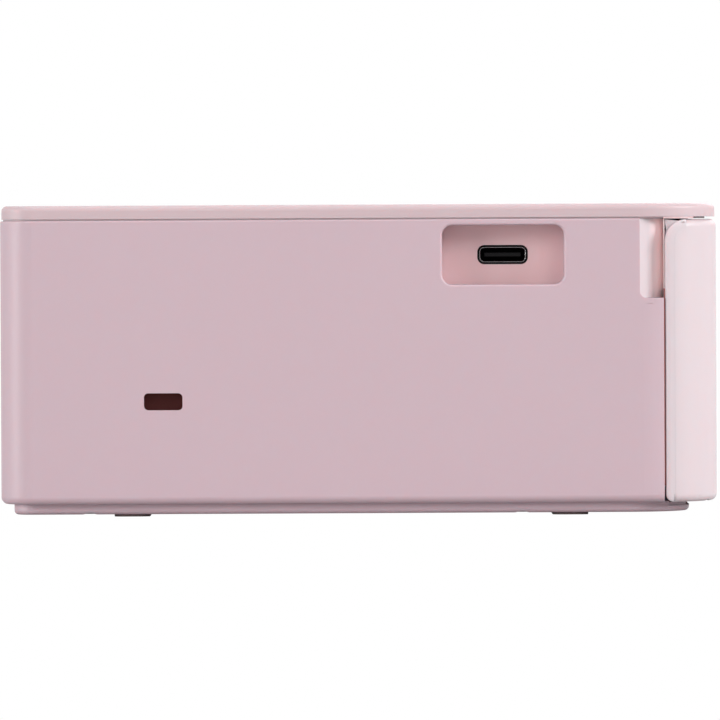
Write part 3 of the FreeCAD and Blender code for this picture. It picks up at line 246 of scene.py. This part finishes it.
# The recess floor and the ledge under the lid take a lighter, warmer copy of the shell's colour:
# painted light where they lie in shade.
RECESS_PAINTED_LIGHT_COLOUR = display(222, 187, 189)
KEY_COLOUR = display(214, 192, 197)

# Where along Y the finger notch's painted glow starts and where it is strongest: a lighter, warmer
# colour painted in for light that comes through the plastic into the notch's shade.
NOTCH_PAINTED_GLOW = (-53.5 * MM, -55.8 * MM)
NOTCH_PAINTED_GLOW_COLOUR = display(253, 220, 219)


def make_materials():
    shell = surface("shell_plastic", SHELL_COLOUR, blotch=0.006, fleck=0.006, rounding=0.1,
                    **PALE_PLASTIC)
    cover = surface("cover_painted_lit_plastic", COVER_PAINTED_LIT_COLOUR, blotch=0.006, fleck=0.006, rounding=0.08,
                    **PALE_PLASTIC)
    steel = surface("zinc_plate", display(188, 190, 192), grain=0.9, depth=0.003, blotch=0.06,
                    fleck=0.05, Metallic=1.0, Roughness=0.36)
    turned = surface("turned_steel", display(208, 208, 210), grain=0.25, depth=0.002, fleck=0.03,
                     rounding=0.06, stretch=(4, 1, 1), Metallic=1.0, Roughness=0.24)
    return {
        "shell": shell, "cover": cover, "steel": steel, "bright_steel": turned,
        "lid": surface("lid_plastic", LID_COLOUR, blotch=0.006, fleck=0.006, rounding=0.1,
                       **PALE_PLASTIC),
        "key": surface("key_plastic", KEY_COLOUR, blotch=0.01, fleck=0.006, rounding=0.25,
                       **PALE_PLASTIC),
        "frame_plastic": surface("inner_plastic", display(84, 78, 80), grain=0.4, depth=0.01,
                                 fleck=0.05, Roughness=0.5),
        "glass": surface("window_glass", display(10, 10, 12), grain=6.0, depth=0.0, blotch=0.1,
                         rounding=0.3, Roughness=0.07, Coat_Weight=0.5, Coat_Roughness=0.03),
        "panel": surface("display_black", display(14, 14, 16), grain=2.0, depth=0.0,
                         Roughness=0.25),
        "rubber": surface("rubber", display(84, 70, 70), grain=0.5, depth=0.02, blotch=0.08,
                          fleck=0.08, Roughness=0.8),
        "black_plastic": surface("black_plastic", display(24, 23, 24), grain=0.4, depth=0.008,
                                 fleck=0.08, Roughness=0.45),
        "board": surface("board_lacquer", display(30, 92, 58), grain=1.2, depth=0.01, blotch=0.1,
                         fleck=0.12, Roughness=0.3, Coat_Weight=0.3),
        "gear_plastic": surface("acetal", display(224, 220, 210), fleck=0.02, Roughness=0.4),
        "cartridge_plastic": surface("cartridge_plastic", display(88, 88, 92), fleck=0.05,
                                     Roughness=0.5),
        "heat_sink_metal": surface("sink_metal", display(192, 193, 196), grain=0.3, depth=0.004,
                                   fleck=0.05, stretch=(0.1, 1, 1), Metallic=1.0,
                                   Roughness=0.34),
        "film": surface("ribbon_film", display(120, 84, 34), grain=3.0, depth=0.0, blotch=0.1,
                        Roughness=0.15, Coat_Weight=0.4),
        "recess": surface("recess_painted_light", RECESS_PAINTED_LIGHT_COLOUR, blotch=0.01, fleck=0.006,
                          **PALE_PLASTIC),
        "notch": paint_glow_inward(surface("notch_painted_glow", COVER_PAINTED_LIT_COLOUR, blotch=0.006, fleck=0.006,
                                     **PALE_PLASTIC), *NOTCH_PAINTED_GLOW, NOTCH_PAINTED_GLOW_COLOUR),
        "rim": surface("socket_rim", display(78, 72, 72), grain=0.2, depth=0.0, fleck=0.04,
                       rounding=0.02, Metallic=1.0, Roughness=0.3),
        # Painted shade: near-black for the gap round the socket's shell and for its shaded hollow.
        "socket_painted_shade": surface("socket_painted_shade", display(7, 6, 6), fleck=0.1, Roughness=0.6,
                                Specular_IOR_Level=0.1),
        "socket_grey": surface("socket_grey", display(22, 22, 23), fleck=0.08, Roughness=0.6,
                               Specular_IOR_Level=0.1),
        # Painted shade: red-brown for the shaded pink plastic seen through the seam's gap.
        "seam": surface("seam_painted_shade", display(146, 80, 74), fleck=0.02, Roughness=0.6),
        # Painted shade: dark red-brown for the shaded pink plastic inside the lock slot.
        "pocket": surface("lock_slot_painted_shade", display(94, 34, 29), fleck=0.06, Roughness=0.7),
        "ink": surface("key_ink", display(122, 98, 104), grain=0.2, fleck=0.05, Roughness=0.5),
        # Painted shade: dark crosses stand in for the shaded cross recesses in the screw heads.
        "screw_cross_painted_shade": surface("screw_cross_painted_shade_metal", display(40, 40, 42), fleck=0.1, Metallic=1.0,
                               Roughness=0.5),
    }


def paint_glow_inward(material, start, stop, colour):
    """Shift a finish to a warmer colour along Y: a painted glow, for light that only comes through
    the plastic there.
    """
    tree = material.node_tree
    shader = next(node for node in tree.nodes if node.type == "BSDF_PRINCIPLED")
    plain = shader.inputs["Base Color"].links[0].from_socket
    place = add_node(tree, "ShaderNodeTexCoord")
    parts = add_node(tree, "ShaderNodeSeparateXYZ")
    along = add_node(tree, "ShaderNodeMapRange", From_Min=start, From_Max=stop)
    mix = add_node(tree, "ShaderNodeMix", data_type="RGBA")
    mix.inputs["B"].default_value = colour
    tree.links.new(place.outputs["Object"], parts.inputs[0])
    tree.links.new(parts.outputs["Y"], along.inputs["Value"])
    tree.links.new(along.outputs[0], mix.inputs["Factor"])
    tree.links.new(plain, mix.inputs["A"])
    tree.links.new(mix.outputs[2], shader.inputs["Base Color"])
    return material


# Nodes that wear another finish than their own slot's.
OTHER_FINISH = {"front_cover": "cover", "front_frame": "shell", "ribbon_film": "film",
                "usb_socket_tongue": "socket_grey"}


def dress_nodes(materials):
    for entry in frame["record"]["subparts"]:
        data = nodes[entry["node"]].data
        data.materials.clear()
        data.materials.append(materials[OTHER_FINISH.get(entry["node"], entry["material_slot"])])


# DETAIL PIECES

# The steps in a round corner, and how far a thin piece lies off the face that it covers.
CORNER_STEPS = 8
SKIN = 0.02 * MM

# The recess and the socket in it: half sizes, corners, and the steps of the metal rim.
RECESS_FRONT_INSET = 39.85 * MM
RECESS_HEIGHT = 48.2 * MM
RECESS_HALF_LONG = 11.3 * MM
RECESS_HALF_TALL = 5.5 * MM
RECESS_CORNER = 1.9 * MM
SOCKET_CORNER = 1.12 * MM
SOCKET_GAP = 0.16 * MM
SOCKET_HOLLOW = 5.5 * MM
RIM_OUTER = -0.24 * MM
RIM_INNER = -0.38 * MM
RIM_DEEP = 0.12 * MM

# The lock slot: where it is from the rear and the table, its size, and the pocket behind the wall.
SLOT_REAR_INSET = 30.2 * MM
SLOT_HEIGHT = 21.3 * MM
SLOT_HALF_LONG = 3.575 * MM
SLOT_HALF_TALL = 1.575 * MM
SLOT_CORNER = 0.8 * MM
WALL = 2.2 * MM
POCKET_DEEP = 1.6 * MM

# Behind the seam and behind the cover's round corner: depths from the left side, and heights.
SEAM = FRONT + 10.15 * MM
SEAM_BACKING = (2.25 * MM, 2.6 * MM)
SEAM_BACKING_LONG = 1.1 * MM
SEAM_HEIGHTS = (10 * MM, 52.4 * MM)
SEAM_LINER = (0.9 * MM, 1.4 * MM)
SEAM_LINER_LONG = 0.2 * MM
SEAM_LINER_HEIGHTS = (5.4 * MM, 41.8 * MM)
CORNER_WEB = (1.9 * MM, 2.3 * MM)
CORNER_WEB_LAP = 0.5 * MM

# What fills the gap between the base and the cover, and the one under the lid.
OUTLINE_STEPS = 10
STEP_INSET = 2.9 * MM
STEP_CORNER = 11.6 * MM
STEP_AHEAD = 16.8 * MM
STEP_LONG = 4.2 * MM
STEP_HEIGHTS = (1.58 * MM, 2.2 * MM)
STEP_BACK = 14 * MM
LEDGE_INSET = 0.4 * MM
LEDGE_LONG = 5.6 * MM
LEDGE_HEIGHTS = (54.75 * MM, 55.11 * MM)
LEDGE_BACK = 8 * MM

# In the finger notch: its edge at the seam, the cheek beside the frame, and the lining, whose two
# ends are given by their depth from the left side and their distance behind the seam.
NOTCH_EDGE = (1.9 * MM, 3.8 * MM)
NOTCH_EDGE_HEIGHTS = (41.8 * MM, 54.7 * MM)
CHEEK_LONG = 1.2 * MM
CHEEK_LAP = 0.5 * MM
CHEEK_HEIGHTS = (5.4 * MM, 40 * MM)
NOTCH_LINING = [(0.46 * MM, 4.42 * MM), (3.58 * MM, 0.02 * MM)]
NOTCH_LINING_HEIGHTS = (40.15 * MM, 54.75 * MM)

# The cover's rear edge as it shows beside the seam: the round of the front corner in plan, the
# rounds at the top and the foot, and the edge's own section, each point of it in millimetres
# ahead of the edge and in from the side.
FRONT_CORNER = 14 * MM
COVER_TOP_ROUND = 4 * MM
COVER_FOOT_ROUND = 1.5 * MM
COVER_EDGE = [(0.02, 1.7), (0.02, 0.4), (0.06, 0.2), (0.16, 0.07), (0.34, -0.01), (1.1, -0.01),
              (1.72, 0)]
COVER_EDGE_STEPS = 12

# The pads that the feet show at the base's edge.
PAD_PLACES = (FRONT + 27.5 * MM, REAR - 24.3 * MM)
PAD_INSET = 3.3 * MM
PAD_LONG = 13 * MM
PAD_HALF = 3.3 * MM
PAD_CORNER = PAD_HALF / 2

# The signs on the keys: their reach, their line, where the arcs start and stop, and the printer
# sign's proportions, as shares of the reach.
SIGN = 1.5 * MM
SIGN_LINE = 0.35 * MM
ARC_STEPS = 20
POWER_ARC_DEG = (125, 415)
BACK_ARC_DEG = (-90, 180)
BACK_ARC = 0.8
PRINTER_WIDE = 1.6
PRINTER_TOP = 0.6
PRINTER_SHEET = 1.5
ARROW_REACH = 10.6 * MM

# The screws under the base, each row's distance in from the sides, from the front where it has
# a pair there, and from the rear, and the crosses in their heads.
SCREW_PLACES = [(4.7 * MM, 36.5 * MM, -16.5 * MM), (29.1 * MM, None, -4.7 * MM)]
SCREW_CROSS = 1.1 * MM
SCREW_LINE = 0.32 * MM


def add_piece(name, points, faces, material, body):
    mesh = bpy.data.meshes.new(name)
    mesh.from_pydata(points, [], faces)
    shape = bmesh.new()
    shape.from_mesh(mesh)
    bmesh.ops.recalc_face_normals(shape, faces=shape.faces)
    shape.to_mesh(mesh)
    shape.free()
    mesh.materials.append(material)
    piece = bpy.data.objects.new(name, mesh)
    bpy.context.scene.collection.objects.link(piece)
    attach(piece, body)
    return piece


def ring_faces(first, count):
    """The faces between two loops of points that follow each other."""
    return [(first + index, first + (index + 1) % count,
             first + count + (index + 1) % count, first + count + index)
            for index in range(count)]


def add_walls(name, loops, material, body, closed):
    """Walls from one loop of points to the next, with a floor in the last one if it is closed."""
    count = len(loops[0])
    last = count * (len(loops) - 1)
    faces = [face for start in range(0, last, count) for face in ring_faces(start, count)]
    if closed:
        faces.append(tuple(range(last, last + count)))
    return add_piece(name, [point for loop in loops for point in loop], faces, material, body)


def add_prisms(name, outlines, low, high, material, body):
    """Flat signs or plates: each outline, in X and Y, raised between two heights."""
    points, faces = [], []
    for outline in outlines:
        first, count = len(points), len(outline)
        points += [(x, y, z) for z in (low, high) for x, y in outline]
        faces += [tuple(range(first, first + count)),
                  tuple(range(first + count, first + 2 * count))]
        faces += ring_faces(first, count)
    return add_piece(name, points, faces, material, body)


def rounded_loop(half_wide, half_tall, radius):
    """Points round a rectangle with round corners, about its centre."""
    points = []
    for corner, (across, up) in enumerate(((1, 1), (-1, 1), (-1, -1), (1, -1))):
        for step in range(CORNER_STEPS + 1):
            angle = math.radians(90 * (corner + step / CORNER_STEPS))
            points.append((across * (half_wide - radius) + radius * math.cos(angle),
                           up * (half_tall - radius) + radius * math.sin(angle)))
    return points


def side_loop(x, y, z, half_long, half_tall, corner):
    """A rounded rectangle that faces the left side."""
    return [(x, y + along, z + up) for along, up in rounded_loop(half_long, half_tall, corner)]


def corner_arc(y, z, radius, lap, up):
    """Points round a corner at (y, z) that lies behind its round and over or under it.

    It is over it where up is -1 and under it where up is 1. The points lie lap inside the round.
    """
    middle_y, middle_z = y - radius, z + up * radius
    reach = radius - lap
    angles = [math.radians(90 * step / COVER_EDGE_STEPS) for step in range(COVER_EDGE_STEPS + 1)]
    return [(middle_y + reach * math.cos(angle), middle_z - up * reach * math.sin(angle))
            for angle in angles]


def block(left, right, front, rear):
    return [(left, front), (right, front), (right, rear), (left, rear)]


def bar(x, y, half_wide, half_deep):
    return block(x - half_wide, x + half_wide, y - half_deep, y + half_deep)


def add_socket_pieces(materials):
    low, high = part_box("usb_socket_shell")
    y, z = (low.y + high.y) / 2, (low.z + high.z) / 2
    half_long, half_tall = (high.y - low.y) / 2, (high.z - low.z) / 2
    face = low.x - SKIN

    def loop(x, grow):
        return side_loop(x, y, z, half_long + grow, half_tall + grow, SOCKET_CORNER + grow)

    # A black ring over the gap round the shell: painted shadow.
    gap = [loop(low.x + SKIN, SOCKET_GAP), loop(face, SOCKET_GAP), loop(face, RIM_OUTER)]
    add_walls("socket_gap_painted_shadow", gap, materials["socket_painted_shade"], "body", False)
    rim = [loop(face, RIM_OUTER), loop(face + RIM_DEEP, RIM_INNER)]
    add_walls("socket_rim", rim, materials["rim"], "body", False)
    # The hollow is lined in black over the shell's inner walls: painted shade.
    lining = [loop(face + RIM_DEEP, RIM_INNER), loop(low.x + SOCKET_HOLLOW, RIM_INNER)]
    add_walls("socket_lining", lining, materials["socket_painted_shade"], "body", True)
    floor_x = low.x - SKIN / 2
    floor = [side_loop(floor_x, FRONT + RECESS_FRONT_INSET, RECESS_HEIGHT,
                       RECESS_HALF_LONG - SKIN, RECESS_HALF_TALL - SKIN, RECESS_CORNER - SKIN),
             loop(floor_x, SOCKET_GAP)]
    add_walls("recess_floor", floor, materials["recess"], "body", False)


def add_slot_pocket(materials):
    # The pocket behind the slot carries painted shade.
    loops = [side_loop(LEFT + depth, REAR - SLOT_REAR_INSET, SLOT_HEIGHT,
                       SLOT_HALF_LONG, SLOT_HALF_TALL, SLOT_CORNER)
             for depth in (WALL - SKIN, WALL + POCKET_DEEP)]
    add_walls("lock_slot_pocket", loops, materials["pocket"], "body", True)


def arc_band(radius, start_deg, stop_deg):
    """A line bent round the centre, as short straight-edged stretches."""
    inner, outer = radius - SIGN_LINE / 2, radius + SIGN_LINE / 2
    angles = [math.radians(start_deg + (stop_deg - start_deg) * step / ARC_STEPS)
              for step in range(ARC_STEPS + 1)]
    return [[(reach * math.cos(angle), reach * math.sin(angle)) for reach, angle
             in ((inner, start), (outer, start), (outer, stop), (inner, stop))]
            for start, stop in zip(angles, angles[1:])]


def key_signs():
    """What each key carries, drawn about its own centre."""
    line = SIGN_LINE / 2
    minus = bar(0, 0, SIGN, line)
    printer_middle = SIGN * (PRINTER_TOP - 1) / 2
    printer_half = SIGN * (PRINTER_TOP + 1) / 2
    return {
        "power_key": arc_band(SIGN, *POWER_ARC_DEG) + [bar(0, SIGN, line, SIGN / 2)],
        "menu_key": [bar(0, height * SIGN / 2, SIGN, line) for height in (-1, 0, 1)],
        "edit_key": [bar(side * SIGN / 2, 0, line, SIGN) for side in (-1, 1)],
        "back_key": arc_band(SIGN * BACK_ARC, *BACK_ARC_DEG),
        "zoom_out_key": [minus],
        "zoom_in_key": [minus] + [bar(0, up * (SIGN + line) / 2, line, (SIGN - line) / 2)
                                  for up in (1, -1)],
        "print_key": [bar(0, -SIGN, PRINTER_WIDE * SIGN, line),
                      bar(0, SIGN * PRINTER_TOP, PRINTER_WIDE * SIGN, line),
                      bar(-PRINTER_WIDE * SIGN, printer_middle, line, printer_half),
                      bar(PRINTER_WIDE * SIGN, printer_middle, line, printer_half),
                      bar(0, SIGN * PRINTER_SHEET, SIGN, line)],
    }


def add_key_signs(materials):
    for key, outlines in key_signs().items():
        low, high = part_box(key)
        x, y = (low.x + high.x) / 2, (low.y + high.y) / 2
        placed = [[(x + across, y + along) for across, along in outline] for outline in outlines]
        add_prisms(key + "_sign", placed, high.z - SKIN, high.z + SKIN / 2, materials["ink"], key)
    low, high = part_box("ok_key")
    centre = Vector(((low.x + high.x) / 2, (low.y + high.y) / 2))
    for key, turn_deg in (("right_key", 0), ("up_key", 90), ("left_key", 180), ("down_key", 270)):
        ahead = Vector((math.cos(math.radians(turn_deg)), math.sin(math.radians(turn_deg))))
        side = Vector((-ahead.y, ahead.x))
        middle = centre + ahead * ARROW_REACH
        tail = middle - ahead * SIGN / 2
        arrow = [tuple(middle + ahead * SIGN), tuple(tail + side * SIGN),
                 tuple(tail - side * SIGN)]
        add_prisms(key + "_sign", [arrow], high.z - SKIN, high.z + SKIN / 2, materials["ink"], key)


def add_plate(name, depths, ahead, behind, heights, material):
    """An upright plate by the seam, from two depths in from the left side."""
    near, far = (LEFT + depth for depth in depths)
    add_prisms(name, [block(near, far, SEAM - ahead, SEAM + behind)], *heights, material, "body")


def add_seam_backings(materials):
    add_plate("seam_backing", SEAM_BACKING, SEAM_BACKING_LONG, 0, SEAM_HEIGHTS, materials["shell"])
    # The liner behind the seam's gap is painted shade.
    add_plate("seam_liner", SEAM_LINER, SEAM_LINER_LONG, 0, SEAM_LINER_HEIGHTS, materials["seam"])
    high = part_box("front_cover")[1]
    outline = [(high.y, high.z)]
    outline += corner_arc(high.y, high.z, COVER_TOP_ROUND, CORNER_WEB_LAP, -1)
    near, far = (LEFT + depth for depth in CORNER_WEB)
    add_walls("cover_corner_web", [[(x, y, z) for y, z in outline] for x in (far, near)],
              materials["cover"], "front_cover", True)


def front_corner_outline(left, middle, radius, length, back):
    """The left front corner in plan, from the seam forward, closed off at the back."""
    outline = []
    for step in range(OUTLINE_STEPS + 1):
        y = SEAM - length * step / OUTLINE_STEPS
        outline.append((left + radius - math.sqrt(radius ** 2 - (middle - y) ** 2), y))
    return outline + [(left + back, SEAM - length), (left + back, SEAM)]


def add_ledges(materials):
    step = front_corner_outline(LEFT + STEP_INSET, FRONT + STEP_AHEAD, STEP_CORNER, STEP_LONG,
                                STEP_BACK)
    add_prisms("base_step", [step], *STEP_HEIGHTS, materials["shell"], "body")
    ledge = front_corner_outline(LEFT + LEDGE_INSET, FRONT + FRONT_CORNER, FRONT_CORNER,
                                 LEDGE_LONG, LEDGE_BACK)
    # The ledge under the lid is in the recess's lighter colour: painted light in that gap's shade.
    add_prisms("lid_ledge", [ledge], *LEDGE_HEIGHTS, materials["recess"], "body")


def add_notch_pieces(materials):
    # The notch's edge and lining carry its painted glow.
    add_plate("notch_edge", NOTCH_EDGE, SEAM_LINER_LONG, 0, NOTCH_EDGE_HEIGHTS,
              materials["notch"])
    cheek = (WALL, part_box("front_frame")[0].x + CHEEK_LAP - LEFT)
    add_plate("frame_cheek", cheek, 0, CHEEK_LONG, CHEEK_HEIGHTS, materials["shell"])
    points = [(LEFT + depth - SKIN, SEAM + behind, z)
              for depth, behind in NOTCH_LINING for z in NOTCH_LINING_HEIGHTS]
    add_piece("notch_lining", points, [(0, 1, 3, 2)], materials["notch"], "body")


def add_foot_pads(materials):
    outline = rounded_loop(PAD_LONG / 2, PAD_HALF, PAD_CORNER)
    middle = LEFT + PAD_INSET + PAD_LONG / 2
    pads = [[(side * middle + across, y + along) for across, along in outline]
            for y in PAD_PLACES for side in (1, -1)]
    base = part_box("base_cover")[0].z
    add_prisms("foot_pads", pads, SKIN, base + SKIN, materials["rubber"], "body")


def add_cover_edge(materials):
    """The crisp rear edge of the cover's side, swept up the seam and round both its corners."""
    low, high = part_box("front_cover")
    path = []
    for z, radius, up in ((low.z, COVER_FOOT_ROUND, 1), (high.z, COVER_TOP_ROUND, -1)):
        outer, inner = (corner_arc(high.y, z, radius, lap, up) for lap in (0, MM))
        stretch = [(*edge, (deep[0] - edge[0]) / MM, (deep[1] - edge[1]) / MM)
                   for edge, deep in zip(outer, inner)]
        path += stretch[::-up]
    points = []
    for y, z, inward_y, inward_z in path:
        most = COVER_FOOT_ROUND / MM if z < low.z + COVER_FOOT_ROUND else math.inf
        for reach, deeper in COVER_EDGE:
            inward = min(reach, most)
            place = y + inward_y * inward * MM
            ahead = FRONT + FRONT_CORNER - place
            depth = FRONT_CORNER - math.sqrt(FRONT_CORNER ** 2 - ahead ** 2)
            points.append((LEFT + depth + deeper * MM, place, z + inward_z * inward * MM))
    count = len(COVER_EDGE)
    faces = [(first, first + 1, first + count + 1, first + count)
             for row in range(len(path) - 1)
             for first in range(row * count, row * count + count - 1)]
    edge = add_piece("cover_edge", points, faces, materials["cover"], "front_cover")
    for face in edge.data.polygons:
        face.use_smooth = True


def add_underside(materials):
    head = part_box("base_screws")[0].z
    crosses = []
    for side_inset, front_inset, rear_inset in SCREW_PLACES:
        for x in (LEFT + side_inset, RIGHT - side_inset):
            places = [REAR + rear_inset] + ([FRONT + front_inset] if front_inset else [])
            for y in places:
                crosses += [bar(x, y, SCREW_CROSS, SCREW_LINE), bar(x, y, SCREW_LINE, SCREW_CROSS)]
    # The crosses are flat marks in painted shade, not real recesses.
    add_prisms("screw_crosses", crosses, head - SKIN, head + SKIN, materials["screw_cross_painted_shade"], "body")


make_camera()
make_world()
make_floor()
for box_name, (place, faces, size, power) in SOFTBOXES.items():
    add_softbox(box_name, place, faces, size, power)
finishes = make_materials()
dress_nodes(finishes)
add_socket_pieces(finishes)
add_slot_pocket(finishes)
add_key_signs(finishes)
add_seam_backings(finishes)
add_ledges(finishes)
add_notch_pieces(finishes)
add_foot_pads(finishes)
add_cover_edge(finishes)
add_underside(finishes)
bpy.context.scene.view_settings.view_transform = "Standard"
